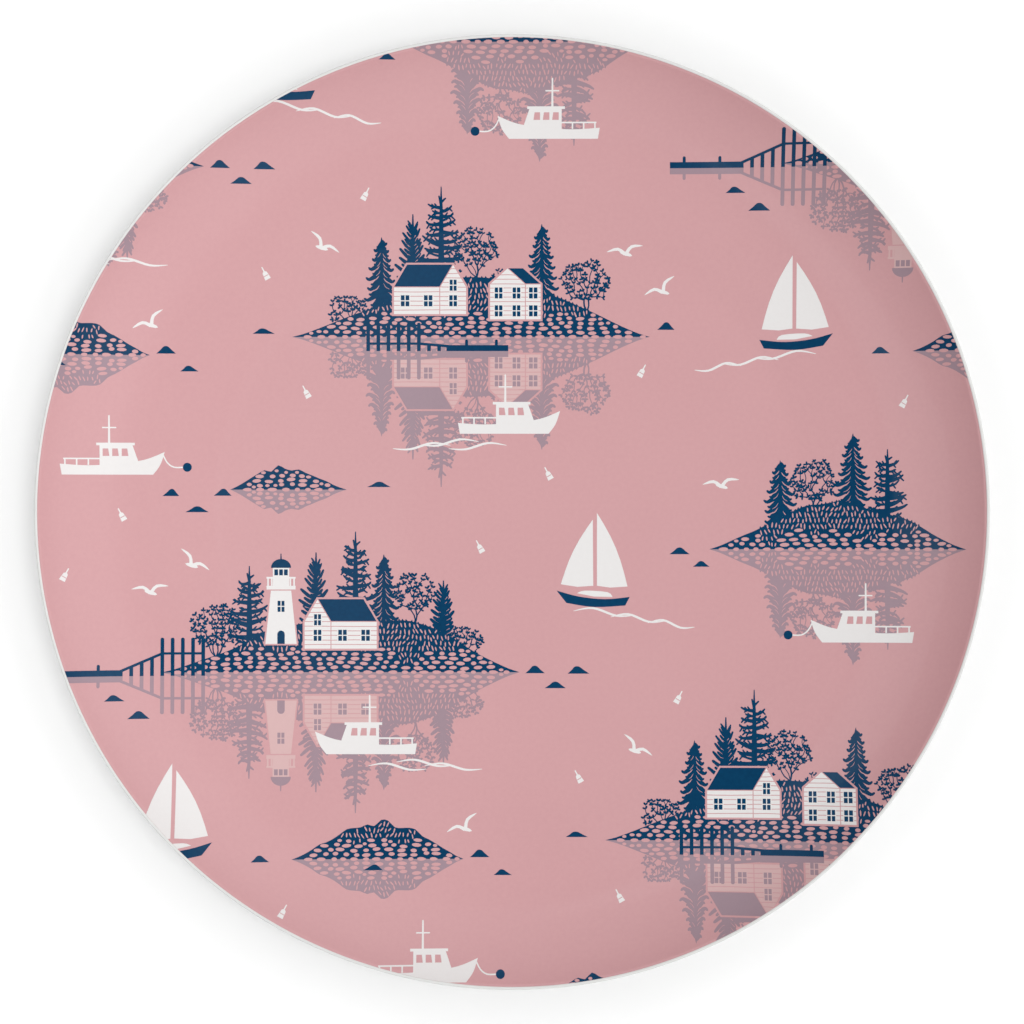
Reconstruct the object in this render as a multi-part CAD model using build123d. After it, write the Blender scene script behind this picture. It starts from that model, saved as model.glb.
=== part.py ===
"""Souvenir plate: a coupe-shaped melamine dinner plate with a full-face printed decor.

The plate stands on its foot ring with the eating surface up. The origin is the centre of the
foot ring's resting plane and +Z is the axis of revolution. Every piece is a body of revolution,
so each one is drawn as a half section in the XZ plane and revolved about Z.

A decorated melamine plate is pressed in three shots, and each shot is a piece here:
    plate_body   the white moulded shell with its foot ring and rounded lip
    decor_foil   the printed decor paper that is pressed into the body's upper face
    clear_glaze  the clear resin layer that is pressed over the decor

All lengths are millimetres and all angles are degrees.
"""

from build123d import *
import os
from math import asin, cos, degrees, radians, sin, sqrt

# Driving dimensions of the whole plate
PLATE_DIAMETER = 254.0
WALL_THICKNESS = 2.6
FOOT_HEIGHT = 1.8

# Eating surface: flat well, gently rising flange, then a wall that sweeps up to the lip
WELL_RADIUS = 76.5
WELL_BLEND_RADIUS = 40.0
FLANGE_SLOPE = 7.0
WALL_SWEEP_RADIUS = 47.5
LIP_SLOPE = 45.0

# White lip outside the decor: a tight edge, an upright outer face and a soft corner under it
LIP_EDGE_RADIUS = 0.5
LIP_UNDER_RADIUS = 1.1

# The decor ends where the wall meets the lip
DECOR_FOIL_THICKNESS = 0.30
GLAZE_THICKNESS = 0.25

# Foot ring, on the underside of the well
FOOT_OUTER_RADIUS = 74.0
FOOT_INNER_RADIUS = 71.2
FOOT_DRAFT_WIDTH = 0.6
FOOT_TOE_FILLET = 0.5
FOOT_ROOT_FILLET = 0.9

# Worked out from the dimensions above
FLOOR_HEIGHT = FOOT_HEIGHT + WALL_THICKNESS
DECOR_DEPTH = GLAZE_THICKNESS + DECOR_FOIL_THICKNESS


def flange_length():
    """Length of the straight flange that brings the lip out to the plate's full radius."""
    blend_run = WELL_BLEND_RADIUS * sin(radians(FLANGE_SLOPE))
    sweep_run = WALL_SWEEP_RADIUS * (sin(radians(LIP_SLOPE)) - sin(radians(FLANGE_SLOPE)))
    lip_run = LIP_EDGE_RADIUS * (1 + sin(radians(LIP_SLOPE)))
    flange_run = PLATE_DIAMETER / 2 - WELL_RADIUS - blend_run - sweep_run - lip_run
    return flange_run / cos(radians(FLANGE_SLOPE))


def upper_line(depth):
    """Half-section curve that lies depth under the eating surface, from the axis to the decor's end."""
    floor = Line((0, FLOOR_HEIGHT - depth), (WELL_RADIUS, FLOOR_HEIGHT - depth))
    blend = JernArc(floor @ 1, floor % 1, WELL_BLEND_RADIUS + depth, FLANGE_SLOPE)
    flange = Line(blend @ 1, blend @ 1 + (blend % 1) * flange_length())
    sweep = JernArc(flange @ 1, flange % 1, WALL_SWEEP_RADIUS + depth, LIP_SLOPE - FLANGE_SLOPE)
    return [floor, blend, flange, sweep]


def under_line(upper_sweep):
    """Half-section curve of the lip and the underside, from the wall's end in to the flat base."""
    edge = JernArc(upper_sweep @ 1, upper_sweep % 1, LIP_EDGE_RADIUS, -(90 + LIP_SLOPE))
    # The corner under the lip touches both the upright face and the underside's sweep
    under_radius = WALL_SWEEP_RADIUS + WALL_THICKNESS
    sweep_centre = upper_sweep.arc_center
    across = PLATE_DIAMETER / 2 - LIP_UNDER_RADIUS - sweep_centre.X
    to_corner = under_radius - LIP_UNDER_RADIUS
    face = Line(edge @ 1, (PLATE_DIAMETER / 2, sweep_centre.Y - sqrt(to_corner**2 - across**2)))
    end_slope = degrees(asin(across / to_corner))
    corner = JernArc(face @ 1, face % 1, LIP_UNDER_RADIUS, -(90 - end_slope))
    sweep = JernArc(corner @ 1, corner % 1, under_radius, -(end_slope - FLANGE_SLOPE))
    flange = Line(sweep @ 1, sweep @ 1 + (sweep % 1) * flange_length())
    blend = JernArc(flange @ 1, flange % 1, WELL_BLEND_RADIUS + WALL_THICKNESS, -FLANGE_SLOPE)
    return [edge, face, corner, sweep, flange, blend]


def revolved(edges):
    """Solid of revolution about Z of the closed half section that the edges make."""
    return revolve(Plane.XZ * make_face(edges), axis=Axis.Z)


def layer(top_depth, bottom_depth):
    """Thin shell under the eating surface, between two depths, from the axis to the decor's end."""
    top = upper_line(top_depth)
    bottom = upper_line(bottom_depth)
    centre_edge = Line(top[0] @ 0, bottom[0] @ 0)
    rim_edge = Line(top[-1] @ 1, bottom[-1] @ 1)
    return revolved(top + bottom + [centre_edge, rim_edge])


def foot_ring_line(start):
    """Half-section outline of the underside from the well's blend, round the foot ring, to the axis."""
    return Polyline(
        start,
        (FOOT_OUTER_RADIUS + FOOT_DRAFT_WIDTH, FOOT_HEIGHT),
        (FOOT_OUTER_RADIUS, 0),
        (FOOT_INNER_RADIUS, 0),
        (FOOT_INNER_RADIUS - FOOT_DRAFT_WIDTH, FOOT_HEIGHT),
        (0, FOOT_HEIGHT),
    )


def rounded_foot(section):
    """The body's half section with the foot ring's toe and root corners rounded."""
    on_foot = [
        corner
        for corner in section.vertices()
        if FOOT_INNER_RADIUS - 1 < corner.X < FOOT_OUTER_RADIUS + 1 and corner.Y < FOOT_HEIGHT + 0.01
    ]
    section = fillet([corner for corner in on_foot if corner.Y < 0.01], FOOT_TOE_FILLET)
    roots = [
        corner
        for corner in section.vertices()
        if FOOT_INNER_RADIUS - 1 < corner.X < FOOT_OUTER_RADIUS + 1
        and abs(corner.Y - FOOT_HEIGHT) < 0.01
    ]
    return fillet(roots, FOOT_ROOT_FILLET)


def plate_body():
    """Moulded white shell: seat for the decor, rounded lip, underside and foot ring."""
    seat = upper_line(DECOR_DEPTH)
    upper_sweep = upper_line(0)[-1]
    step = Line(seat[-1] @ 1, upper_sweep @ 1)
    under = under_line(upper_sweep)
    base = foot_ring_line(under[-1] @ 1)
    centre_edge = Line(base @ 1, seat[0] @ 0)
    section = make_face(seat + [step] + under + [base, centre_edge])
    return revolve(Plane.XZ * rounded_foot(section), axis=Axis.Z)


def decor_foil():
    """Printed decor paper, pressed flush into the body's seat."""
    return layer(GLAZE_THICKNESS, DECOR_DEPTH)


def clear_glaze():
    """Clear resin over the decor. Its upper face is the eating surface."""
    return layer(0, GLAZE_THICKNESS)


os.makedirs("parts", exist_ok=True)
export_step(plate_body(), "parts/plate_body.step")
export_step(decor_foil(), "parts/decor_foil.step")
export_step(clear_glaze(), "parts/clear_glaze.step")
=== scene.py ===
import random
from math import asin, atan2, ceil, cos, degrees, exp, hypot, pi, radians, sin, sqrt, tan

import bpy
import numpy as np
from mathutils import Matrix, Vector
from mathutils.geometry import delaunay_2d_cdt


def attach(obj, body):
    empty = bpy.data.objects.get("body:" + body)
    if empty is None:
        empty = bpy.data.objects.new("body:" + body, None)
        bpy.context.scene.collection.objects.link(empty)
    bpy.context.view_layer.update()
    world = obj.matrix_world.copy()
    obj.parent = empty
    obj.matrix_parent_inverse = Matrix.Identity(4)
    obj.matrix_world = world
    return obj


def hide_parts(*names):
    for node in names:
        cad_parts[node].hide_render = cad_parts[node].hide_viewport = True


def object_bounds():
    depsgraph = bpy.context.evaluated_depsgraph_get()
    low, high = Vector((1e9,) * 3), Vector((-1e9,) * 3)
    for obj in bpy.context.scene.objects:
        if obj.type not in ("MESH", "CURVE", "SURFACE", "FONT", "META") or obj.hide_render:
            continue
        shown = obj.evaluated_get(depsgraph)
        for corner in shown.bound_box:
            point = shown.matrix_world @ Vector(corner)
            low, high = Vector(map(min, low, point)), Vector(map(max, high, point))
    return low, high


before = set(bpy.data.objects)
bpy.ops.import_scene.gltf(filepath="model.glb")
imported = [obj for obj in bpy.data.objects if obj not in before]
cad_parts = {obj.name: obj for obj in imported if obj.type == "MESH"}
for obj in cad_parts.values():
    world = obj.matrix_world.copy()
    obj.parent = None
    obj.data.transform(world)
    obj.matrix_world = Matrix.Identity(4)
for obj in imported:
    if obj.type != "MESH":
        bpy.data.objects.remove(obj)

CAD_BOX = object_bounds()
MM = 0.001

# === The plate's section, the same curve as the CAD's, in millimetres ===
PLATE_RADIUS = (CAD_BOX[1][0] - CAD_BOX[0][0]) / 2 / MM
WALL = 2.6
FOOT_HEIGHT = 1.8
FLOOR = FOOT_HEIGHT + WALL
WELL_RADIUS = 76.5
WELL_BLEND = 40.0
FLANGE_SLOPE = radians(7.0)
SWEEP = 47.5
LIP_SLOPE = radians(45.0)
LIP_EDGE = 0.5
LIP_UNDER = 1.1
DECOR_DEPTH = 0.55
FOOT_OUTER = 74.0
FOOT_INNER = 71.2
FOOT_DRAFT = 0.6
FOOT_TOE = 0.5
FOOT_ROOT = 0.9

BLEND_END = WELL_RADIUS + WELL_BLEND * sin(FLANGE_SLOPE)
SWEEP_RUN = SWEEP * (sin(LIP_SLOPE) - sin(FLANGE_SLOPE))
DECOR_RADIUS = PLATE_RADIUS - LIP_EDGE * (1 + sin(LIP_SLOPE))
FLANGE_END = DECOR_RADIUS - SWEEP_RUN
BLEND_RISE = WELL_BLEND * (1 - cos(FLANGE_SLOPE))
FLANGE_RISE = (FLANGE_END - BLEND_END) * tan(FLANGE_SLOPE)
SWEEP_CENTRE = (FLANGE_END - SWEEP * sin(FLANGE_SLOPE),
                FLOOR + BLEND_RISE + FLANGE_RISE + SWEEP * cos(FLANGE_SLOPE))


def sides(outline):
    """Pairs of neighbours round a closed outline."""
    return zip(outline, outline[1:] + outline[:1])


def eating_surface(radius):
    """Height and slope angle of the eating surface at a radius."""
    if radius <= WELL_RADIUS:
        return FLOOR, 0.0
    if radius <= BLEND_END:
        slope = asin((radius - WELL_RADIUS) / WELL_BLEND)
        return FLOOR + WELL_BLEND * (1 - cos(slope)), slope
    if radius <= FLANGE_END:
        return FLOOR + BLEND_RISE + (radius - BLEND_END) * tan(FLANGE_SLOPE), FLANGE_SLOPE
    slope = asin((radius - SWEEP_CENTRE[0]) / SWEEP)
    return SWEEP_CENTRE[1] - SWEEP * cos(slope), slope


def lifted(x, y, height):
    """The point above (x, y) that stands 'height' proud of the eating surface, and its normal."""
    radius = hypot(x, y)
    z, slope = eating_surface(radius)
    outward = -sin(slope) / radius if radius > 1e-9 else 0.0
    normal = Vector((x * outward, y * outward, cos(slope)))
    return Vector((x, y, z)) + normal * height, normal


def arc(centre_r, centre_z, radius, start, end, count):
    """Points on a section's arc. Angles in degrees, from the +r direction towards +z."""
    turns = [radians(start + (end - start) * i / count) for i in range(count + 1)]
    return [(centre_r + radius * cos(a), centre_z + radius * sin(a)) for a in turns]


SEGMENTS = 512


def lathe(name, section, finish):
    """A solid of revolution from a closed loop of (r, z) points. One at r = 0 is a single vertex."""
    verts, rings = [], []
    turns = [2 * pi * i / SEGMENTS for i in range(SEGMENTS)]
    for r, z in section:
        if r < 1e-6:
            rings.append([len(verts)] * SEGMENTS)
            verts.append((0.0, 0.0, z * MM))
        else:
            rings.append(list(range(len(verts), len(verts) + SEGMENTS)))
            verts += [(r * cos(turn) * MM, r * sin(turn) * MM, z * MM) for turn in turns]
    faces = []
    for ring, following in sides(rings):
        if ring[0] == ring[1] and following[0] == following[1]:
            continue
        for i in range(SEGMENTS):
            j = (i + 1) % SEGMENTS
            corners = []
            for vertex in (ring[i], ring[j], following[j], following[i]):
                if vertex not in corners:
                    corners.append(vertex)
            faces.append(corners)
    return mesh_object(name, verts, faces, finish)


def mesh_object(name, verts, faces, finish):
    """A smooth shaded object in the scene, with the finish as its material."""
    mesh = bpy.data.meshes.new(name)
    mesh.from_pydata(verts, [], faces)
    mesh.validate()
    mesh.shade_smooth()
    mesh.materials.append(finish)
    made = bpy.data.objects.new(name, mesh)
    bpy.context.scene.collection.objects.link(made)
    return made


def surface_line(depth, first, last, step):
    """Section points 'depth' under the eating surface, from one radius of that surface to another."""
    count = max(1, ceil((last - first) / step))
    found = []
    for i in range(count + 1):
        radius = first + (last - first) * i / count
        z, slope = eating_surface(radius)
        found.append((radius + depth * sin(slope), z - depth * cos(slope)))
    return found


# Steps along the section: long where it is straight and short where it curves
WELL_STEP = 12.0
BLEND_STEP = 0.8
FLANGE_STEP = 4.0
SWEEP_STEP = 0.7


def decor_line(depth):
    """The whole decorated section at a depth, from the axis to the decor's end at the lip."""
    line = [(0.0, FLOOR - depth)] + surface_line(depth, WELL_STEP, WELL_RADIUS, WELL_STEP)
    for first, last, step in ((WELL_RADIUS, BLEND_END, BLEND_STEP), (BLEND_END, FLANGE_END, FLANGE_STEP),
                              (FLANGE_END, DECOR_RADIUS, SWEEP_STEP)):
        line += surface_line(depth, first, last, step)[1:]
    return line


# === Materials ===
def set_inputs(node, *settings):
    """Sets a shader node's inputs from (socket, value) pairs."""
    for socket, value in settings:
        node.inputs[socket].default_value = value


def map_range(tree, source, to_low, to_high, from_low=0.3, from_high=0.7, interpolation="LINEAR"):
    """A Map Range node on a socket. Most of a noise node's values lie between 0.3 and 0.7."""
    added = tree.nodes.new("ShaderNodeMapRange")
    added.interpolation_type = interpolation
    set_inputs(added, ("From Min", from_low), ("From Max", from_high), ("To Min", to_low),
               ("To Max", to_high))
    tree.links.new(source, added.inputs["Value"])
    return added.outputs["Result"]


def material(name, colour, tint, tint_amount, roughness, coat=0.3, coat_roughness=0.08,
             mottle_scale=900.0, bump=0.02):
    """Glossy resin over a coloured layer: mottled colour, uneven roughness, a faint orange peel.
    Noise scales are in waves per metre."""
    made = bpy.data.materials.new(name)
    made.use_nodes = True
    tree = made.node_tree
    shader = tree.nodes["Principled BSDF"]
    set_inputs(shader, ("Coat Weight", coat), ("Coat Roughness", coat_roughness), ("Coat IOR", 1.5),
               ("Specular IOR Level", 0.05))
    place = tree.nodes.new("ShaderNodeTexCoord")

    def noise(scale, detail):
        added = tree.nodes.new("ShaderNodeTexNoise")
        set_inputs(added, ("Scale", scale), ("Detail", detail), ("Roughness", 0.55))
        tree.links.new(place.outputs["Object"], added.inputs["Vector"])
        return added.outputs["Fac"]

    mix = tree.nodes.new("ShaderNodeMix")
    mix.data_type = "RGBA"
    set_inputs(mix, ("A", (*colour, 1)), ("B", (*tint, 1)))
    # Fine mottle, with a little of a broad one added
    both = tree.nodes.new("ShaderNodeMath")
    both.operation = "MULTIPLY_ADD"
    set_inputs(both, (1, 0.6))
    tree.links.new(map_range(tree, noise(mottle_scale, 3.0), 0.0, tint_amount), both.inputs[0])
    tree.links.new(map_range(tree, noise(22.0, 2.0), 0.0, tint_amount * 0.4), both.inputs[2])
    tree.links.new(both.outputs[0], mix.inputs["Factor"])
    tree.links.new(mix.outputs["Result"], shader.inputs["Base Color"])
    patches = map_range(tree, noise(60.0, 4.0), roughness * 0.85, roughness * 1.2)
    tree.links.new(patches, shader.inputs["Roughness"])
    peel = tree.nodes.new("ShaderNodeBump")
    set_inputs(peel, ("Strength", bump), ("Distance", 0.0002))
    tree.links.new(noise(260.0, 2.0), peel.inputs["Height"])
    for socket in ("Normal", "Coat Normal"):
        tree.links.new(peel.outputs["Normal"], shader.inputs[socket])
    return made


PRINT_ROUGHNESS = 0.42
PINK = material("decor_pink", (0.603, 0.338, 0.351), (0.548, 0.295, 0.310), 0.5, PRINT_ROUGHNESS)
WHITE_BODY = material("white_melamine", (0.705, 0.705, 0.695), (0.65, 0.65, 0.635), 0.5, 0.34,
                      coat=0.4, coat_roughness=0.12, mottle_scale=400.0, bump=0.05)
INKS = {}
for ink, colour, tint, amount in (
        ("navy", (0.0004, 0.034, 0.092), (0.002, 0.058, 0.138), 0.6),
        ("white", (0.760, 0.745, 0.738), (0.72, 0.70, 0.69), 0.5),
        ("mauve", (0.330, 0.241, 0.280), (0.363, 0.256, 0.295), 0.6),
        ("blush", (0.635, 0.427, 0.424), (0.605, 0.397, 0.398), 0.5)):
    INKS[ink] = material("ink_" + ink, colour, tint, amount, PRINT_ROUGHNESS)

# === Drawing the print ===
# A point is a complex number in millimetres, x right and y up the print. A shape is (ink, outline).
# A drawing is a list of shapes, the later ones over the earlier. "bare" is no ink: it shows the
# pink ground. The numbers inside a motif are millimetres, or shares of its height or width.
REFLECTED = {"navy": "mauve", "white": "blush", "bare": "bare"}


def along(*places):
    """Points from (x, y) pairs."""
    return [complex(x, y) for x, y in places]


def inked(ink):
    """A function that makes a drawing of outlines in this ink."""
    return lambda *outlines: [(ink, outline) for outline in outlines]


navy, white, bare = inked("navy"), inked("white"), inked("bare")


def symmetric(*right_half):
    """A symmetric outline from the (x, y) pairs of its right half, in order from the bottom up."""
    right = along(*right_half)
    left = [-p.conjugate() for p in right if p.real > 0]
    return left[:1] + right + left[:0:-1]


def smooth(points, steps=4):
    """A Catmull-Rom curve through the points."""
    last = len(points) - 1
    line = []
    for i in range(last):
        p = [points[max(0, min(last, i + k - 1))] for k in range(4)]
        for s in range(steps):
            t = s / steps
            line.append(0.5 * (2 * p[1] + (p[2] - p[0]) * t
                               + (2 * p[0] - 5 * p[1] + 4 * p[2] - p[3]) * t * t
                               + (3 * p[1] - p[0] - 3 * p[2] + p[3]) * t * t * t))
    return line + [points[-1]]


def stroke(points, start, end, belly=None, steps=3):
    """A brush stroke along a curve: its width at the start, the end and, if given, the middle."""
    line = smooth(points, steps) if len(points) > 2 else list(points)
    last = len(line) - 1
    left, right = [], []
    for i, point in enumerate(line):
        onward = line[min(i + 1, last)] - line[max(i - 1, 0)]
        across = 1j * onward / abs(onward)
        t = i / last
        if belly is None:
            width = start + (end - start) * t
        elif t < 0.5:
            width = start + (belly - start) * sin(pi * t)
        else:
            width = end + (belly - end) * sin(pi * t)
        left.append(point + across * width / 2)
        right.append(point - across * width / 2)
    tip = line[-1] + (line[-1] - line[-2]) / abs(line[-1] - line[-2]) * end * 0.4
    return right + [tip] + left[::-1]


def bowed(a, b, bulge):
    """Points from a up to b on a line that bows to the right by bulge times its length."""
    steps = 6
    return [a + (b - a) * (t / steps) - 1j * (b - a) * bulge * sin(pi * t / steps)
            for t in range(steps)]


def block(x0, y0, x1, y1):
    """A rectangle."""
    return along((x0, y0), (x1, y0), (x1, y1), (x0, y1))


def disc(centre, radius, count):
    """A round outline with so many points."""
    return [centre + radius * complex(cos(a), sin(a))
            for a in (2 * pi * i / count for i in range(count))]


def lens(centre, length, width, turn, count=4):
    """A pointed oval."""
    heading = complex(cos(turn), sin(turn))
    upper = [complex(-length / 2 * cos(pi * i / count),
                     width / 2 * sin(pi * i / count) ** 1.05) for i in range(1, count)]
    outline = [complex(-length / 2, 0)] + [p.conjugate() for p in upper]
    outline += [complex(length / 2, 0)] + upper[::-1]
    return [centre + p * heading for p in outline]


def grown(outline, by):
    """An outline moved outwards by a distance, or inwards by a negative one."""
    outline = anticlockwise(outline)
    count = len(outline)
    moved_out = []
    for i in range(count):
        before = outline[i] - outline[i - 1]
        after = outline[(i + 1) % count] - outline[i]
        before, after = before / abs(before), after / abs(after)
        bisector = -1j * (before + after)
        lean = max(0.35, abs(bisector) / 2)
        moved_out.append(outline[i] + bisector / abs(bisector) * by / lean)
    return moved_out


def anticlockwise(outline):
    """The outline, turned round if it runs clockwise."""
    twice_area = sum(a.real * b.imag - a.imag * b.real for a, b in sides(outline))
    return outline if twice_area > 0 else outline[::-1]


def moved(drawing, to=0j, size=1.0, flip=False):
    """The drawing scaled, mirrored left to right if asked, and carried to a place."""
    if flip:
        return [(ink, [to - (p * size).conjugate() for p in outline]) for ink, outline in drawing]
    return [(ink, [to + p * size for p in outline]) for ink, outline in drawing]


def reflected(drawing, shore=0.0):
    """The drawing's reflection in the water, mirrored about the height of the shore."""
    return [(REFLECTED[ink], [complex(p.real, 2 * shore - p.imag) for p in outline])
            for ink, outline in drawing]


# --- plants ---
def spruce(height, width, rng):
    """A dense spruce: a pointed top, drooping boughs that flick up, and slits of light between."""
    drawing = navy(symmetric((width * 0.2, 0), (width * 0.17, height * 0.45), (0.8, height * 0.84),
                             (0.32, height - 1.2), (0.0, height)))
    slits = []
    for side in (-1, 1):
        big = side > 0
        y = height * (0.9 if big else 0.865)
        while y > 0.2:
            t = 1 - y / height
            reach = width / 2 * min(1.0, 0.16 + 1.2 * t ** 0.85) * (1.0 if big else 0.74)
            reach *= rng.uniform(0.88, 1.1)
            drop = 0.5 + 1.6 * t ** 0.7
            thick = 0.85 + 0.8 * min(1.0, t * 3)
            tip = side * reach
            bough = along((0, min(y + drop * 1.05, height - 0.9)), (tip * 0.42, y + drop * 0.45),
                          (tip * 0.8, y - 0.1), (tip, y + (0.35 if big else 0.1)))
            drawing += navy(stroke(bough, thick, 0.5 if big else 0.42))
            if t > 0.2 and rng.random() < 0.8:
                slit = along((tip * 0.16, y + drop * 0.6), (tip * 0.34, y + drop * 0.02),
                             (tip * 0.64, y - 0.55))
                slits += bare(stroke(slit, 0.05, 0.1, belly=0.27 if big else 0.16))
            y -= (0.95 + 0.45 * min(1.0, t * 2)) * rng.uniform(0.9, 1.12)
            big = not big
    return drawing + slits


def fir(height, width, rng):
    """A fir with thick blunt boughs that sweep upwards from a dense middle, steeper on one side."""
    drawing = navy(along((-width * 0.22, 0), (width * 0.24, 0), (width * 0.2, height * 0.45),
                         (0.34, height * 0.82), (0.15, height), (-0.15, height),
                         (-0.34, height * 0.82), (-width * 0.18, height * 0.45)))
    slits = []
    for side in (-1, 1):
        full_side = side < 0
        y = height * (0.86 if full_side else 0.82)
        long = True
        while y > -0.5:
            t = 1 - y / height
            reach = width / 2 * min(1.0, 0.14 + 1.25 * t) * (1.0 if full_side else 0.72)
            reach *= rng.uniform(0.88, 1.12) * (1.0 if long else 0.72)
            rise = reach * (1.5 - 0.95 * min(1.0, t * 1.5)) * (1.0 if full_side else 1.5)
            rise *= rng.uniform(0.85, 1.15)
            tip = side * reach
            bough = along((side * 0.1, y - 0.3), (tip * 0.5, y + rise * 0.34), (tip, y + rise))
            thick = 0.42 + 0.55 * min(1.0, t * 1.6)
            drawing += navy(stroke(bough, thick * 0.95, thick * 0.66, belly=thick * 1.05))
            if t > 0.26 and rng.random() < 0.75:
                slit = along((tip * 0.3, y - 0.1), (tip * 0.66, y + rise * 0.5 - thick * 0.75))
                slits += bare(stroke(slit, 0.06, 0.2))
            y -= (0.85 + 0.35 * min(1.0, t * 2)) * rng.uniform(0.85, 1.25)
            long = not long or rng.random() < 0.3
    return drawing + slits


def old_spruce(height, width, rng):
    """A tall open spruce: a bare leader, then heavy uneven boughs with knobbly twigs."""
    drawing = navy(symmetric((width * 0.085, 0), (width * 0.06, height * 0.5), (0.4, height * 0.82),
                             (0.2, height * 0.93), (0.12, height)))
    for side in (-1, 1):
        low, high = height * (0.83 + 0.02 * side), height * (0.9 - 0.01 * side)
        drawing += navy(stroke(along((0, low), (side * (0.9 + 0.3 * side), high)), 0.7, 0.4))
        y = height * (0.8 if side < 0 else 0.77)
        heavy = True
        while y > 0.0:
            t = 1 - y / height
            reach = width / 2 * min(1.0, 0.36 + 0.9 * t)
            reach *= rng.uniform(0.84, 1.1) if heavy else rng.uniform(0.5, 0.75)
            tilt = reach * rng.uniform(-0.1, 0.42)
            sag = rng.uniform(0.1, 0.45)
            tip = side * reach
            bough = along((0, y - 0.1), (tip * 0.4, y + tilt * 0.4 - sag),
                          (tip * 0.75, y + tilt * 0.75 - sag * 0.5), (tip, y + tilt + 0.35))
            thick = (0.85 + 0.7 * min(1.0, t * 1.5)) if heavy else 0.7
            drawing += navy(stroke(bough, thick, 0.42))
            for share, up in ((0.3, 1), (0.5, -1), (0.55, 1), (0.76, 1), (0.82, -1)):
                if rng.random() < 0.3:
                    continue
                at = complex(tip * share, y + tilt * share - sag * 0.7)
                twig = complex(side * rng.uniform(0.55, 1.0), up * rng.uniform(0.5, 1.0))
                drawing += navy(stroke([at - twig * 0.25, at + twig], 0.55, 0.38))
            y -= rng.uniform(1.25, 1.8) * (0.8 + 0.4 * t)
            heavy = not heavy or rng.random() < 0.25
    return drawing


def sprig(at, out, rng, size):
    """Small leaves round the end of a twig that points outwards."""
    drawing = []
    for turn in (-1.3, -0.1, 1.2) if rng.random() < 0.65 else (-0.7, 0.8):
        way = out * complex(cos(turn + rng.uniform(-0.3, 0.3)), sin(turn))
        way /= abs(way)
        length, width = rng.uniform(0.74, 1.0) * size, rng.uniform(0.48, 0.62) * size
        angle = atan2(way.imag, way.real)
        drawing += navy(lens(at + way * length * 0.45, length, width, angle, 3))
    return drawing


def branches(buds, fork):
    """Twigs that join every bud to one behind it, thicker where they carry more. Also gives the
    buds in order from the fork, and the way each one points."""
    buds = sorted(buds, key=lambda bud: abs(bud - fork))
    parents, carried = [], [1] * len(buds)
    for i, bud in enumerate(buds):
        best, cost, behind = fork, abs(bud - fork) * 1.15, -1
        for k in range(i):
            onward, outward = bud - buds[k], buds[k] - fork
            if abs(outward) > abs(bud - fork) - 0.6:
                break
            bend = 1 - (onward * outward.conjugate()).real / (abs(onward) * abs(outward) + 1e-9)
            bent_cost = abs(onward) * (1 + 2.2 * bend)
            if bent_cost < cost:
                best, cost, behind = buds[k], bent_cost, k
        parents.append((best, behind))
    for i in reversed(range(len(buds))):
        if parents[i][1] >= 0:
            carried[parents[i][1]] += carried[i]
    twigs, outwards = [], []
    for i, bud in enumerate(buds):
        start = parents[i][0]
        thick = min(0.5, 0.19 + 0.05 * sqrt(carried[i] - 1))
        middle = (start + bud) / 2 + 1j * (bud - start) * (0.1 if i % 2 else -0.1)
        twigs += navy(stroke([start, middle, bud], thick, thick * 0.85, steps=2))
        outwards.append((bud - start) / max(1e-9, abs(bud - start)))
    return twigs, buds, outwards


# Row height of a triangular grid, and how far its points stray
ROW_SHARE = 0.87
JITTER = 0.32


def crown(centre, half_width, half_height, fork, rng, spacing=1.34, clear=2.0):
    """A lacy crown of leaf sprigs over an oval, with a few gaps in its middle."""
    buds = []
    rows = int(half_height * 2 / (spacing * ROW_SHARE)) + 1
    columns = int(half_width * 2 / spacing) + 2
    for row in range(rows + 1):
        for column in range(columns + 1):
            x = (column - columns / 2 + 0.5 * (row % 2)) * spacing + rng.uniform(-JITTER, JITTER)
            y = (row - rows / 2) * spacing * ROW_SHARE + rng.uniform(-JITTER, JITTER)
            edge = (x / half_width) ** 2 + (y / half_height) ** 2
            bud = centre + complex(x, y)
            if edge > rng.uniform(0.76, 0.98) or abs(bud - fork) < clear:
                continue
            if edge >= 0.42 or rng.random() >= 0.22:
                buds.append(bud)
    twigs, buds, outwards = branches(buds, fork)
    leaves = []
    for bud, out in zip(buds, outwards):
        leaves += sprig(bud, out, rng, rng.uniform(0.96, 1.24))
    return twigs + leaves


# Height of a leafy tree's crown over its width
CROWN_SHAPE = 0.86


def leafy_tree(height, width, rng):
    """A round open tree: a short trunk, limbs that fan out, and a lacy crown."""
    half = width / 2
    centre = complex(0, height - half * CROWN_SHAPE)
    fork = complex(0.1, max(1.0, (height - width) * 0.45 + 0.8))
    drawing = navy(stroke([-0.6j, fork * 0.5, fork], 0.9, 0.55))
    return drawing + crown(centre, half, half * CROWN_SHAPE, fork, rng)


def bush(height, width, rng):
    """A low bush that stands on the origin."""
    return crown(complex(0, height * 0.5), width / 2, height * 0.62, complex(0, -1.8), rng, 1.28, 1.6)


# --- land ---
PEBBLE_ROW = 1.22
GRASS_ROW = 1.55


def height_over(line, x):
    """Height of a ridge line at x, or -1 beyond its ends."""
    for a, b in zip(line, line[1:]):
        if a.real <= x <= b.real and b.real > a.real:
            return a.imag + (b.imag - a.imag) * (x - a.real) / (b.real - a.real)
    return -1.0


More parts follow.
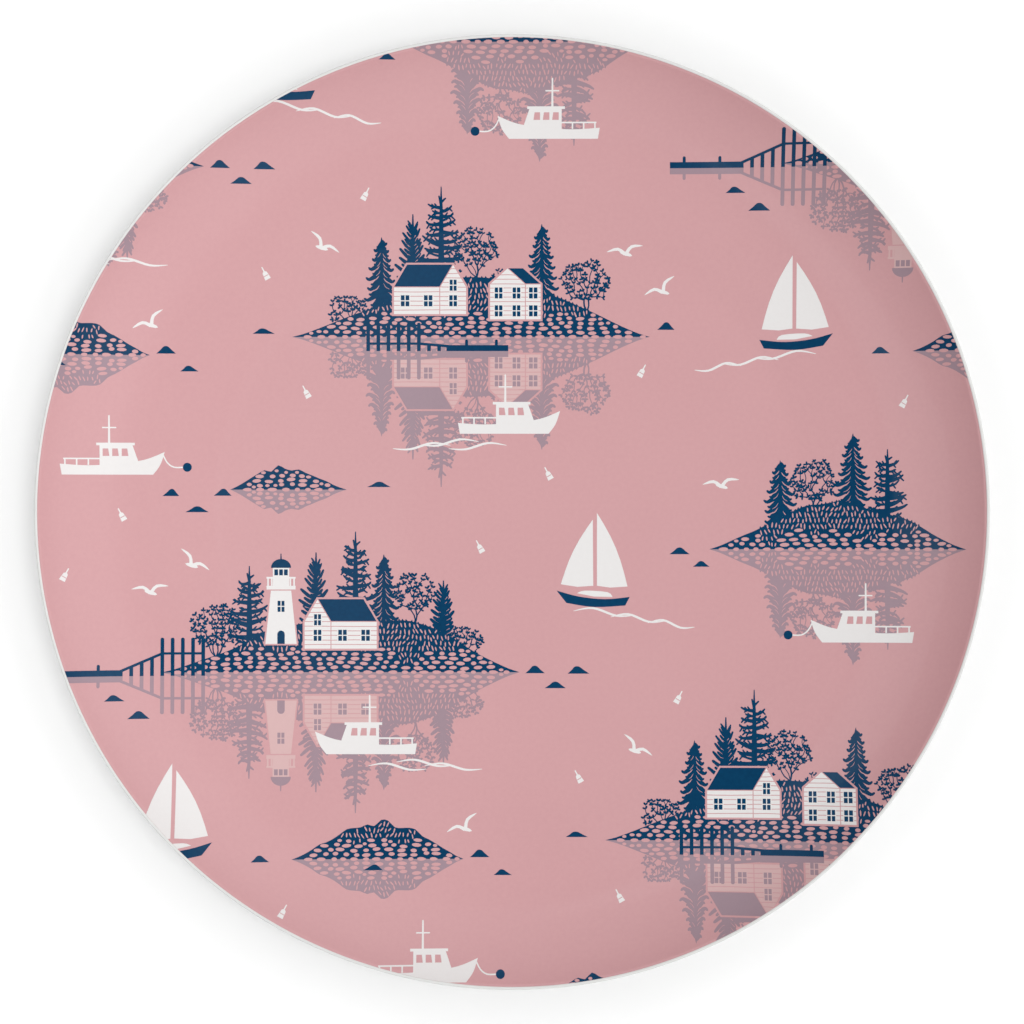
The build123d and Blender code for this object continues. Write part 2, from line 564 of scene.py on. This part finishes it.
def land(line, shore, rng, swales=(), tufts=True):
    """An island: solid ground with pebbles up to the height of the shore and grass above it.
    Its ridge line runs from tip to tip, both in the water at height 0. The grass comes further
    down in a swale: (x, depth, half width)."""
    drawing = navy(line)
    left, right = line[0].real, line[-1].real

    def edge_of_the_grass(x):
        down = sum(depth * exp(-((x - place) / half) ** 2) for place, depth, half in swales)
        return shore + 0.8 * sin(x * 0.55 + 1.3) - down

    x = left
    while tufts and x < right:
        if height_over(line, x) > edge_of_the_grass(x) + 1.2:
            drawing += navy(lens(complex(x, height_over(line, x) - 0.45), rng.uniform(1.5, 2.0), 0.62,
                                 pi / 2 + rng.uniform(-0.4, 0.4), 3))
        x += rng.uniform(0.9, 1.15)

    taken = []

    def mark(at, length, width, upright, turn, gap):
        """Bare ground at a place, if it is inside the land and clear of the other marks."""
        wide, high = (width / 2, length / 2) if upright else (length / 2, width / 2)
        room = [height_over(line, at.real + side * wide * 0.8) - at.imag for side in (-1, 0, 1)]
        if min(room[0], room[2]) < (high * 0.6 if upright else 0.3) or room[1] < high * 0.9 + 0.1:
            return
        if any(((at.real - x) / (wide + w + gap)) ** 2 + ((at.imag - y) / (high + h + gap)) ** 2 < 1
               for x, y, w, h in taken):
            return
        taken.append((at.real, at.imag, wide, high))
        oval = lens(at, length, width, turn + (pi / 2 if upright else 0), 3 if upright else 5)
        drawing.extend(bare([complex(p.real, max(p.imag, 0.0)) for p in oval]))

    row = 0
    while row * PEBBLE_ROW < shore + 1.0:
        x = left + 1.0 + (1.6 if row % 2 else 0.0)
        while x < right:
            small = rng.random() < 0.42
            length = rng.uniform(1.4, 1.75) if small else rng.uniform(2.05, 2.65)
            rise = (0.22 * sin(x * 0.5 + 1.0) + rng.uniform(-0.12, 0.12)) * min(1, row)
            at = complex(x + rng.uniform(-0.2, 0.2), row * PEBBLE_ROW + rise)
            if at.imag < edge_of_the_grass(x):
                mark(at, length, rng.uniform(0.94, 1.08), False, rng.uniform(-0.1, 0.1), -0.05)
            x += (2.7 if small else 3.35) * rng.uniform(0.95, 1.05)
        row += 1
    top = max(p.imag for p in line)
    row = 0
    while row * GRASS_ROW < top:
        x = left + (0.5 if row % 2 else 0.0)
        while x < right:
            at = complex(x + rng.uniform(-0.15, 0.15), row * GRASS_ROW + rng.uniform(-0.3, 0.3))
            if at.imag - 0.7 > edge_of_the_grass(x):
                lean = 0.45 * sin(x * 0.4 + at.imag * 0.5) + rng.uniform(-0.38, 0.38)
                mark(at, rng.uniform(1.2, 1.75), rng.uniform(0.36, 0.48), True, lean, -0.05)
            x += rng.uniform(1.02, 1.22)
        row += 1
    for _ in range(int(4 * (right - left) * top)):
        at = complex(rng.uniform(left, right), rng.uniform(0.6, top))
        if at.imag < edge_of_the_grass(at.real):
            mark(at, rng.uniform(1.05, 1.5), 0.82, False, 0.0, 0.2)
        else:
            mark(at, rng.uniform(1.1, 1.5), 0.42, True, rng.uniform(-0.6, 0.6), 0.28)
    return drawing


def skerry(width, height, rng):
    """A small bare rock awash, with straight flanks and a rounded top."""
    half = width / 2
    lean = rng.uniform(-0.15, 0.2)
    shoulder, top = height * 0.46, height * 0.94
    return navy(smooth(along((-half, 0), (half * (lean * 0.5 - 0.58), shoulder), (half * (lean - 0.2), top),
                             (half * (lean + 0.2), top), (half * (lean * 0.5 + 0.6), shoulder), (half, 0))))


# --- buildings ---
PANE_HEIGHT = 1.35
PANE_GAP = 0.26
BOARD = 1.22
HALO = 0.4
CREASE = 0.24
STEEP = 0.7


def window(centre, sill, pane):
    """A white frame round four small panes, centred on a line across the wall."""
    wide, high = 2 * (pane + PANE_GAP) - PANE_GAP, 2 * (PANE_HEIGHT + PANE_GAP) - PANE_GAP
    left = centre - wide / 2
    drawing = white(grown(block(left, sill, left + wide, sill + high), PANE_GAP))
    for column in (0, 1):
        for row in (0, 1):
            x, y = left + column * (pane + PANE_GAP), sill + row * (PANE_HEIGHT + PANE_GAP)
            drawing += navy(block(x, y, x + pane, y + PANE_HEIGHT))
    return drawing


def boards(x0, x1, low, high, rng):
    """Clapboard lines across a wall, one board apart."""
    drawing = []
    y = low + BOARD
    while y < high - 0.3:
        line = [complex(x, y + rng.uniform(-0.07, 0.07)) for x in (x0, (x0 + x1) / 2, x1)]
        drawing += bare(stroke(line, 0.21, 0.21, steps=2))
        y += BOARD
    return drawing


def house(front, gable, eaves, pitch, rng, across_front, across_gable, storeys=1):
    """A clapboard house. The front runs left from the origin and the gable end runs right. Its
    windows are even across both walls on each storey, and a steep roof has one under its peak."""
    ridge_x, peak = gable / 2, eaves + gable * pitch
    end_wall = along((0, 0), (gable, 0), (gable, eaves), (ridge_x, peak), (0, eaves))
    front_wall = block(-front, 0, 0, eaves)
    roof = along((-front, eaves), (0, eaves), (ridge_x, peak), (ridge_x - front, peak))
    around = [complex(-front, 0), *end_wall[1:4], roof[3], roof[0]]
    end_wall, front_wall, roof = (grown(outline, -CREASE / 2) for outline in (end_wall, front_wall, roof))
    drawing = bare(grown(around, HALO)) + white(end_wall, front_wall) + navy(roof)
    drawing += boards(-front, 0, 0, eaves, rng) + boards(0, gable, 0, eaves, rng)
    y = eaves
    while y < peak - 1.2:
        half = (peak - y) / pitch / 2
        drawing += boards(ridge_x - half, ridge_x + half, y - BOARD, y + 0.4, rng)
        y += BOARD
    storey = eaves / storeys
    window_height = 2 * PANE_HEIGHT + PANE_GAP
    for floor_level in range(storeys):
        sill = storey * (floor_level + 0.5) - window_height / 2
        for wall, across, pane in ((-front, across_front, 1.0), (gable, across_gable, 0.9)):
            for i in range(across):
                drawing += window(wall * (i + 0.5) / across, sill, pane)
    if pitch > STEEP:
        drawing += window(ridge_x, eaves - 1.0, 0.8)
    return drawing


def cottage(rng):
    """The usual house: a low front with two windows, and a steep gable."""
    return house(12.4, 7.2, 7.4, 0.85, rng, 2, 1)


def lighthouse():
    """A tapered tower with a railed gallery, a glazed lantern room and a domed cap."""
    tower = symmetric((4.2, 0), (2.7, 14.6))
    slab = block(-3.9, 14.6, 3.9, 15.6)
    drawing = bare(grown(tower, HALO)) + white(tower) + bare(grown(slab, 0.3)) + white(slab)
    rails = [block(-3.7 + i, 15.6, -3.7 + i + 0.42, 17.6) for i in range(8)]
    rails += [block(-3.9, 17.5, 3.9, 18.0), block(-2.2, 15.6, 2.2, 20.4)]
    drawing += white(*rails) + navy(*[block(x, 18.4, x + 1.0, 20.0) for x in (-1.8, -0.5, 0.8)])
    dome = [complex(2.7 * cos(pi * i / 12), 20.4 + 2.4 * sin(pi * i / 12)) for i in range(13)]
    drawing += navy(dome, stroke(along((0, 22.4), (0, 24.2)), 0.4, 0.25)) + window(0, 8.6, 0.8)
    return drawing + navy(block(-1.0, 0.0, 1.0, 2.6), disc(2.6j, 1.0, 14))


PILE_PITCH = 2.72
# Height of a pontoon's deck above the water
ABOARD = 1.6


def pile(x, low, top, width=0.98):
    """A post with a chamfered head."""
    half = width / 2
    return navy([x + p for p in symmetric((half, low), (half, top - 0.3), (half * 0.5, top))])


def landing(piles, top, deck, ramp, pontoon):
    """Piles in a row from the origin to the right, with a rail at the height of the deck, then a
    ramp that comes down to a pontoon with two mooring posts. The waterline is at height 0."""
    end = (piles - 1) * PILE_PITCH
    drawing = [shape for i in range(piles) for shape in pile(i * PILE_PITCH, 0, top)]
    drawing += navy(stroke(along((-0.3, deck), (end, deck)), 0.62, 0.62),
                    stroke(along((end, deck), (end + ramp, ABOARD - 0.3)), 0.7, 0.7))
    x = end + PILE_PITCH
    while x < end + ramp - 2.0:
        drawing += pile(x, 0, deck + (ABOARD - deck) * (x - end) / ramp)
        x += PILE_PITCH
    drawing += navy(block(end + ramp - 0.6, 0, end + ramp + pontoon, ABOARD))
    for share in (0.3, 0.8):
        drawing += pile(end + ramp + pontoon * share, ABOARD - 0.2, ABOARD + 1.5, 0.8)
    return drawing


# --- afloat ---
def ripple(x, y, length, crest):
    """A white ripple: a shallow trough, then a crest that settles, tapered at both ends."""
    line = along((x, y), (x + length * 0.3, y - 0.15), (x + length * 0.68, y + crest),
                 (x + length, y + crest * 0.6))
    return white(stroke(line, 0.12, 0.12, belly=0.62, steps=5))


def work_boat():
    """A small white motor boat that faces right, afloat on the origin."""
    stem = smooth(along((10.8, 0.0), (12.7, 2.6), (13.9, 6.1)))
    sheer = smooth(along((13.9, 6.1), (8.5, 4.0), (1.0, 2.9), (-6.5, 2.5), (-13.5, 2.9)))
    wheelhouse = along((-3.3, 2.4), (7.0, 3.2), (5.3, 8.0), (-3.3, 8.0))
    drawing = white(stem + sheer[1:] + [-13.0 + 0j], wheelhouse, grown(block(-3.9, 8.1, 5.7, 8.3), 0.25))
    for x in (-2.5, 0.0, 2.5):
        drawing += bare(along((x, 5.0), (x + 1.75, 5.0), (x + 1.45, 7.0), (x, 7.0)))
    # Stern rail and its posts, then the mast and its spar
    for x0, y0, x1 in ((-12.6, 4.3, -3.3), (-12.2, 2.6, -12.2), (-9.2, 2.6, -9.2), (-6.2, 2.6, -6.2)):
        drawing += white(stroke(along((x0, y0), (x1, 4.3)), 0.4, 0.4))
    return drawing + white(stroke(along((-0.8, 8.2), (-0.8, 15.8)), 0.6, 0.4),
                           stroke(along((-2.6, 12.6), (1.0, 12.6)), 0.36, 0.36))


def mooring():
    """A slack line from the bow of the boat to its ball on the right."""
    line = along((13.4, 5.4), (14.6, 3.2), (16.4, 2.0), (19.0, 2.0))
    return white(stroke(line, 0.36, 0.4)) + navy(disc(complex(19.9, 2.0), 1.2, 20))


def sloop():
    """A small yacht that sails to the right over its ripples, afloat on the origin."""
    # Each sail: its bowed edge from the head down, then along its foot
    main = bowed(-0.8 + 25.8j, -9.0 + 6.0j, 0.05) + along((-9.0, 6.0), (-4.4, 5.7), (-0.8, 6.2))
    jib = bowed(0.3 + 24.0j, 8.9 + 6.6j, -0.05) + along((8.9, 6.6), (4.4, 5.9), (0.2, 6.2))
    sheer = smooth(along((10.0, 4.9), (4.0, 3.3), (-3.0, 2.6), (-9.6, 3.2)))
    hull = sheer + smooth(along((-8.4, 0.9), (0.0, 0.5), (7.4, 1.6)))
    cabin = smooth(along((-5.0, 3.2), (-3.6, 4.5), (2.4, 4.9), (4.6, 4.2)), 3) + [complex(0, 3.3)]
    drawing = white(main, jib, cabin) + navy(hull)
    for i in range(3):
        drawing += ripple(-11.0 - 8.0 * i, -1.7 - 1.6 * i, 16.5 - 2.0 * i, 1.9)
    return drawing


def marker_buoy():
    """A small marker buoy that leans with the tide, its stick up to the left."""
    band = bare(stroke(along((-0.35, -1.2), (0.85, -0.5)), 0.24, 0.24))
    stick = white(stroke(along((-0.1, 0.0), (-1.0, 1.7)), 0.42, 0.36))
    return white(stroke(along((0.9, -1.9), (-0.2, 0.1)), 1.9, 1.4)) + band + stick


def gull(left, right):
    """A gull: a slim body and two bent wings, each raised by its own angle in degrees."""
    drawing = white(lens(0.1 - 0.3j, 3.6, 1.05, -0.3))
    for side, raised in ((-1, radians(left)), (1, radians(right))):
        elbow = 2.3 * complex(side * cos(raised), sin(raised))
        tip = elbow + 3.0 * complex(side * cos(raised - 0.7), sin(raised - 0.7))
        drawing += white(stroke([complex(side * 0.1, -0.4), elbow, tip], 1.0, 0.1, belly=0.82))
    return drawing


# --- the islands ---
def ridge(half_width, top, lean, rng, waves=(2.3, 4.1, 7.0), rough=0.16, step=1.43):
    """The outline of a hill from tip to tip. Its peak is set over to one side by the lean, a share
    of the half width, and its humps are seeded: so many waves from middle to tip, and so rough."""
    humps = [(turns, rng.uniform(0, 2 * pi)) for turns in waves]
    steps = max(16, int(half_width / step))
    line = []
    for i in range(steps + 1):
        u = 2 * i / steps - 1
        away = abs(u - lean) / (1 + lean if u < lean else 1 - lean)
        hump = sum(sin(turns * pi * u + phase) / turns for turns, phase in humps)
        height = top * cos(pi / 2 * away) ** 1.25 * (1 + rough * hump * (1 - away * away))
        line.append(complex(u * half_width, max(0.0, height)))
    return smooth(line, 2)


def grown_over(line, plants, rng):
    """Trees and bushes along a ridge: (kind, x, height, width)."""
    drawing = []
    for kind, x, height, width in plants:
        drawing += moved(kind(height, width, rng), complex(x, height_over(line, x) - 2.0))
    return drawing


def cottage_island(rng):
    """Two clapboard houses among trees, with a landing in front. Origin: middle of the waterline."""
    line = ridge(48.0, 15.0, 0.06, rng)
    trees = grown_over(line, [
        (bush, -33.0, 7.0, 11.5), (spruce, -24.0, 20.0, 8.4), (fir, -15.6, 23.0, 9.0),
        (old_spruce, -8.0, 28.0, 11.6), (leafy_tree, 1.4, 15.6, 13.0), (bush, 8.2, 5.0, 6.6),
        (spruce, 19.0, 21.0, 8.4), (leafy_tree, 31.0, 15.6, 14.0)], rng)
    homes = moved(cottage(rng), complex(-8.4, 6.0))
    homes += moved(house(4.2, 9.6, 9.6, 0.45, rng, 1, 2, storeys=2), complex(14.6, 4.6), flip=True)
    island = trees + land(line, 5.9, rng) + homes
    pier = moved(landing(6, 7.6, 2.0, 8.0, 16.0), complex(-27.6, -3.8))
    return reflected(island) + reflected(pier, -3.8) + island + pier


def lighthouse_island(rng):
    """A lighthouse and a cottage, with a landing that reaches out to the left. Origin as above."""
    line = ridge(48.0, 15.0, 0.16, rng)
    trees = grown_over(line, [
        (leafy_tree, -33.5, 16.0, 14.4), (old_spruce, -24.5, 22.0, 10.6), (fir, -6.6, 21.0, 8.6),
        (old_spruce, 4.0, 25.0, 11.0), (spruce, 11.6, 20.0, 8.0), (leafy_tree, 20.0, 15.4, 12.8),
        (fir, 27.6, 16.0, 7.6), (bush, 33.4, 6.6, 10.0)], rng)
    island = trees + land(line, 6.0, rng, [(19.5, 3.4, 4.5)]) + moved(lighthouse(), complex(-16.0, 7.6))
    island += moved(cottage(rng), complex(-2.6, 6.2), flip=True)
    pier = moved(landing(5, 10.2, 6.0, 11.0, 19.0), complex(-36.8, -0.9), flip=True)
    return reflected(island) + reflected(pier, -0.9) + island + pier


def wooded_island(rng):
    """A grassy mound with four trees. Origin as above."""
    line = ridge(34.0, 12.4, 0.05, rng)
    trees = grown_over(line, [
        (spruce, -15.0, 17.4, 8.8), (leafy_tree, -6.2, 14.4, 13.6), (spruce, 4.4, 21.0, 9.6),
        (old_spruce, 13.6, 19.4, 10.0)], rng)
    island = trees + land(line, 4.6, rng, [(-17.5, 3.0, 3.5), (9.3, 2.8, 3.5)])
    return reflected(island) + island


def islet(half_width, top, lean, shore, rng):
    """A low islet without trees, with rocks up to the height of the shore. Origin as above."""
    line = ridge(half_width, top, lean, rng, waves=(5.2, 7.6, 10.4), rough=0.36, step=0.9)
    island = land(line, shore, rng, tufts=False)
    return reflected(island) + island


# === One repeat of the print, and the repeats that reach the plate ===
REPEAT_A = complex(84, -135)
REPEAT_B = complex(166, 136)
# More than half the width of the widest motif
REACH = 80


def repeat_of_the_print():
    """(place, drawing) of every motif in one repeat, far things first."""
    rng = random.Random(7)
    motifs = [
        (complex(-11, 47), cottage_island(rng)),
        (complex(-46, -43), lighthouse_island(rng)),
        (complex(87, -10), wooded_island(rng)),
        (complex(-60, 6), islet(15.6, 5.8, -0.15, 9.0, rng)),
        (complex(-36, -93), islet(23.0, 9.6, 0.05, 5.0, rng)),
    ]

    def near(x, y, spread):
        return complex(x + rng.uniform(-spread, spread), y + rng.uniform(-spread, spread) * 0.5)

    for x, y, count in ((-72, 90, 3), (-67, 46, 1), (-89, 40, 2), (42, 47, 1), (-84, 2, 3), (-35, 5, 1),
                        (-103, -53, 2), (48, -13, 2), (-38, -98, 1), (98, 40, 1)):
        for i in range(count):
            at = near(x + 6.5 * (i - (count - 1) / 2), y + 2.0 * (-1) ** i, 1.0)
            motifs.append((at, skerry(rng.uniform(4.4, 6.4), rng.uniform(1.4, 2.1), rng)))
    anchored = work_boat() + mooring()
    wake = [shape for i in range(3) for shape in ripple(-31 + 7.5 * i, -4.0 + 1.0 * (i % 2), 15.5, 1.5)]
    under_way = work_boat() + wake
    motifs += [(complex(x, y), moved(vessel, flip=flip)) for x, y, vessel, flip in (
        (94, -35, anchored, True), (-1, 21, under_way, False), (-107, 10, anchored, False),
        (-39, -65, under_way, True), (76, 43, sloop(), False), (22, -26, sloop(), True))]
    for x, y in ((-40, 86), (-54, 32), (36, 38), (-105, -1), (-67, 64), (10, 11), (-10, -9), (-119, -16),
                 (-62, -106)):
        motifs.append((near(x, y, 1.5), moved(marker_buoy(), size=0.88, flip=rng.random() < 0.5)))
    for x, y, left, right in ((-51, 71, 80, 5), (39, 59, 10, 75), (-98, 50, 10, 75), (-87, -14, 80, 5),
                              (31, 69, 25, 45), (-97, -22, 30, 40), (56, 7, 25, 40)):
        motifs.append((near(x, y, 1.5), gull(left, right)))
    return motifs


def reaches_the_plate(outline):
    """Whether an outline comes within the decor, with a corner or with the middle of a side."""
    for a, b in sides(outline):
        side = b - a
        nearest = -(a * side.conjugate()).real / max(1e-12, abs(side) ** 2)
        if abs(a + side * max(0.0, min(1.0, nearest))) < DECOR_RADIUS:
            return True
    return False


def shapes_on_the_plate():
    """Every shape that reaches the decor, in plate coordinates, with the paint order kept."""
    shifts = [a * REPEAT_A + b * REPEAT_B for a in (-1, 0, 1) for b in (-1, 0, 1)]
    found = []
    for place, drawing in repeat_of_the_print():
        for shift in shifts:
            if abs(place + shift) < DECOR_RADIUS + REACH:
                found += [(ink, anticlockwise(outline)) for ink, outline in moved(drawing, place + shift)
                          if reaches_the_plate(outline)]
    return found


# Points that let the ink bend with the plate: the longest side of an outline, and the grid (round
# a ring, ring to ring) where the section curves and on the straight flange
LONGEST_SIDE = 1.8
CURVED_GRID = (1.9, 1.3)
FLANGE_GRID = (4.0, 3.0)
# The print stops this far inside the edge of the decor
EDGE_GAP = 0.02


def divided(outline):
    """The outline with its long sides cut up where the plate is curved."""
    line = []
    for a, b in sides(outline):
        curved = max(abs(a), abs(b)) > WELL_RADIUS
        parts = max(1, ceil(abs(b - a) / LONGEST_SIDE)) if curved else 1
        line += [a + (b - a) * i / parts for i in range(parts)]
    return line


def ring_points(radius, step, share):
    """Points evenly round a circle, about 'step' apart and turned by a share of one step."""
    count = int(2 * pi * radius / step)
    turns = [2 * pi * (i + share) / count for i in range(count)]
    return [Vector((radius * cos(turn), radius * sin(turn))) for turn in turns]


def winding(outline, x, y):
    """How often an outline goes round each of the points (x, y)."""
    turns = np.zeros(len(x), int)
    for a, b in sides(outline):
        side = (b.real - a.real) * (y - a.imag) - (b.imag - a.imag) * (x - a.real)
        turns += ((a.imag <= y) & (y < b.imag) & (side > 0)).astype(int)
        turns -= ((b.imag <= y) & (y < a.imag) & (side < 0)).astype(int)
    return turns


def print_faces():
    """Flat triangles for each ink: all outlines cut against each other, the last shape on top."""
    shapes = shapes_on_the_plate()
    verts, edges = [], []
    for outline in [disc(0j, DECOR_RADIUS - EDGE_GAP, 720)] + [divided(outline) for _, outline in shapes]:
        first, count = len(verts), len(outline)
        edges += [(first + i, first + (i + 1) % count) for i in range(count)]
        verts += [Vector((p.real, p.imag)) for p in outline]
    radius, turn = WELL_RADIUS, 0
    while radius < DECOR_RADIUS - 0.5:
        step, outwards = FLANGE_GRID if BLEND_END <= radius <= FLANGE_END - 1 else CURVED_GRID
        verts += ring_points(radius, step, 0.5 * (turn % 2))
        radius += outwards
        turn += 1
    points, _, triangles = delaunay_2d_cdt(verts, edges, [], 0, 1e-5, False)[:3]
    flat = np.array([(p.x, p.y) for p in points])
    corners = np.array([t[:] for t in triangles])
    middle = flat[corners].mean(axis=1)
    order = np.argsort(middle[:, 0])
    x, y = middle[order, 0], middle[order, 1]
    names = list(INKS)
    top_ink = np.full(len(x), -1)
    for ink, outline in shapes:
        right, up = [p.real for p in outline], [p.imag for p in outline]
        low, high = np.searchsorted(x, (min(right), max(right)))
        near = np.nonzero((y[low:high] >= min(up)) & (y[low:high] <= max(up)))[0] + low
        inside = near[winding(outline, x[near], y[near]) != 0]
        top_ink[inside] = names.index(ink) if ink in INKS else -1
    top_ink[np.hypot(x, y) > DECOR_RADIUS - 1.5 * EDGE_GAP] = -1
    return points, {ink: corners[order[top_ink == i]].tolist() for i, ink in enumerate(names)}


# How far an ink layer stands out of the eating surface and how far it reaches in
INK_PROUD = 0.03
INK_SUNK = 0.05


def ink_piece(name, points, triangles, finish):
    """A thin closed layer of one ink, just proud of the eating surface."""
    used = sorted({v for t in triangles for v in t})
    index = {v: i for i, v in enumerate(used)}
    top, bottom, normals = [], [], []
    for v in used:
        x, y = points[v]
        high, normal = lifted(x, y, INK_PROUD)
        top.append(high * MM)
        bottom.append((high - normal * (INK_PROUD + INK_SUNK)) * MM)
        normals.append(normal)
    count = len(used)
    faces, edges = [], {}
    for t in triangles:
        a, b, c = (index[v] for v in t)
        faces += [(a, b, c), (c + count, b + count, a + count)]
        edges.update({(a, b): True, (b, c): True, (c, a): True})
    faces += [(b, a, a + count, b + count) for a, b in edges if (b, a) not in edges]
    made = mesh_object(name, top + bottom, faces, finish)
    made.data.normals_split_custom_set_from_vertices(normals + [-n for n in normals])
    return made


# === The plate ===
ground = lathe("decor_ground", decor_line(DECOR_DEPTH) + decor_line(0.0)[::-1], PINK)
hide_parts("decor_foil", "clear_glaze")
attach(ground, "root")


# Between the ground and the shell under it
SEAT_GAP = 0.01


def shell_section():
    """The white body: under the decor, round the lip, down the outside and across the foot."""
    line = decor_line(DECOR_DEPTH + SEAT_GAP)
    lip_slope, flange_slope = degrees(LIP_SLOPE), degrees(FLANGE_SLOPE)
    top, _ = eating_surface(DECOR_RADIUS)
    line += arc(PLATE_RADIUS - LIP_EDGE, top - LIP_EDGE * cos(LIP_SLOPE), LIP_EDGE, 90 + lip_slope, 0, 14)
    # The corner under the lip touches both the upright face and the underside's sweep
    to_corner = SWEEP + WALL - LIP_UNDER
    end_slope = asin((PLATE_RADIUS - LIP_UNDER - SWEEP_CENTRE[0]) / to_corner)
    corner_height = SWEEP_CENTRE[1] - to_corner * cos(end_slope)
    end_slope = degrees(end_slope)
    line += arc(PLATE_RADIUS - LIP_UNDER, corner_height, LIP_UNDER, 0, end_slope - 90, 10)
    line += arc(*SWEEP_CENTRE, SWEEP + WALL, end_slope - 90, flange_slope - 90, 40)[1:]
    line += arc(WELL_RADIUS, FLOOR + WELL_BLEND, WELL_BLEND + WALL, flange_slope - 90, -90, 8)
    # Foot ring: root fillet, drafted side, rounded toe, and the same inside
    lean = atan2(FOOT_DRAFT, FOOT_HEIGHT)
    root_out = (FOOT_ROOT + (FOOT_HEIGHT - FOOT_ROOT) * sin(lean)) / cos(lean)
    toe_in = FOOT_TOE * (1 - sin(lean)) / cos(lean)
    lean = degrees(lean)
    line += arc(FOOT_OUTER + root_out, FOOT_HEIGHT - FOOT_ROOT, FOOT_ROOT, 90, 180 - lean, 6)
    line += arc(FOOT_OUTER - toe_in, FOOT_TOE, FOOT_TOE, -lean, -90, 6)
    line += arc(FOOT_INNER + toe_in, FOOT_TOE, FOOT_TOE, -90, lean - 180, 6)
    line += arc(FOOT_INNER - root_out, FOOT_HEIGHT - FOOT_ROOT, FOOT_ROOT, lean, 90, 6)
    return line + [(radius, FOOT_HEIGHT) for radius in (60.0, 30.0, 0.0)]


shell = lathe("white_shell", shell_section()[::-1], WHITE_BODY)
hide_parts("plate_body")
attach(shell, "root")

# Triangles: a layer's closed mesh has a little over twice as many faces, and may have 200,000
LARGEST_LAYER = 70000


def halves(points, triangles):
    """A large ink layer as a left and a right half, so that no piece has too many faces."""
    if len(triangles) <= LARGEST_LAYER:
        return {"": triangles}
    parts = {"_left": [], "_right": []}
    for t in triangles:
        parts["_left" if sum(points[v][0] for v in t) < 0 else "_right"].append(t)
    return parts


flat_points, ink_triangles = print_faces()
for ink, triangles in ink_triangles.items():
    for half, some in halves(flat_points, triangles).items():
        piece = ink_piece("print_" + ink + half, flat_points, some, INKS[ink])
        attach(piece, "root")

# === Floor, light and camera ===
scene = bpy.context.scene
scene.view_settings.view_transform = "Standard"
scene.view_settings.look = "None"

paper = bpy.data.materials.new("floor_paper")
paper.use_nodes = True
set_inputs(paper.node_tree.nodes["Principled BSDF"], ("Base Color", (0.95, 0.95, 0.95, 1)),
           ("Roughness", 0.9), ("Specular IOR Level", 0.0), ("Emission Color", (1, 1, 1, 1)),
           ("Emission Strength", 0.045))
# The floor is just clear of the foot ring's toe
FLOOR_HEIGHT = -0.00002
floor_corners = [(p.real, p.imag, FLOOR_HEIGHT) for p in block(-6, -6, 6, 6)]
floor = mesh_object("floor", floor_corners, [(0, 1, 2, 3)], paper)

world = bpy.data.worlds.new("studio")
scene.world = world
world.use_nodes = True


def studio_sky(strength, zenith, horizon, lean_x, lean_y):
    """A soft white dome, brighter towards one side. The zenith and the horizon are shares of the
    full light."""
    tree = world.node_tree
    where = tree.nodes.new("ShaderNodeTexCoord")
    axes = tree.nodes.new("ShaderNodeSeparateXYZ")
    tree.links.new(where.outputs["Generated"], axes.inputs[0])

    def math_node(operation, *values):
        added = tree.nodes.new("ShaderNodeMath")
        added.operation = operation
        for socket, value in zip(added.inputs, values):
            if isinstance(value, float):
                socket.default_value = value
            else:
                tree.links.new(value, socket)
        return added.outputs[0]

    dim = map_range(tree, axes.outputs["Z"], 1.0, zenith, 0.78, 0.975, "SMOOTHSTEP")
    low = map_range(tree, axes.outputs["Z"], horizon, 1.0, -0.05, 0.5, "SMOOTHSTEP")
    side = math_node("MULTIPLY_ADD", axes.outputs["X"], lean_x, 1.0)
    side = math_node("MULTIPLY_ADD", axes.outputs["Y"], lean_y, side)
    both = math_node("MULTIPLY", math_node("MULTIPLY", side, dim), low)
    tree.links.new(math_node("MULTIPLY", both, strength), tree.nodes["Background"].inputs["Strength"])
    set_inputs(tree.nodes["Background"], ("Color", (1, 1, 1, 1)))


studio_sky(1.07, 0.1, 0.22, 0.58, -0.06)


def lamp(name, kind, power, place, aim, **settings):
    """A lamp at a place that shines at an aim."""
    light = bpy.data.lights.new(name, kind)
    light.energy = power
    for setting, value in settings.items():
        setattr(light, setting, value)
    made = bpy.data.objects.new(name, light)
    made.location = place
    made.rotation_euler = (Vector(aim) - Vector(place)).to_track_quat("-Z", "Y").to_euler()
    scene.collection.objects.link(made)
    return made


glow = lamp("glow_left", "AREA", 0.30, (-0.21, 0.03, 0.36), (-0.16, 0.02, 0), shape="RECTANGLE", size=0.30,
            size_y=0.36)
glow.visible_camera = False
# A broad far lamp, too soft to glint, that gives the plate its narrow shadow on the left
key = lamp("key_right", "SUN", 0.66, (0, 0, 0), (-0.19, 0.04, -1.0), angle=2 * radians(10))
key.visible_glossy = False

# Above the lip
CAMERA_HEIGHT = 1.511
camera_data = bpy.data.cameras.new("camera")
camera_data.lens = 200
camera_data.sensor_width = 36
camera_data.clip_end = 50
camera = bpy.data.objects.new("camera", camera_data)
camera.location = (0, 0, CAD_BOX[1][2] + CAMERA_HEIGHT)
scene.collection.objects.link(camera)
scene.camera = camera
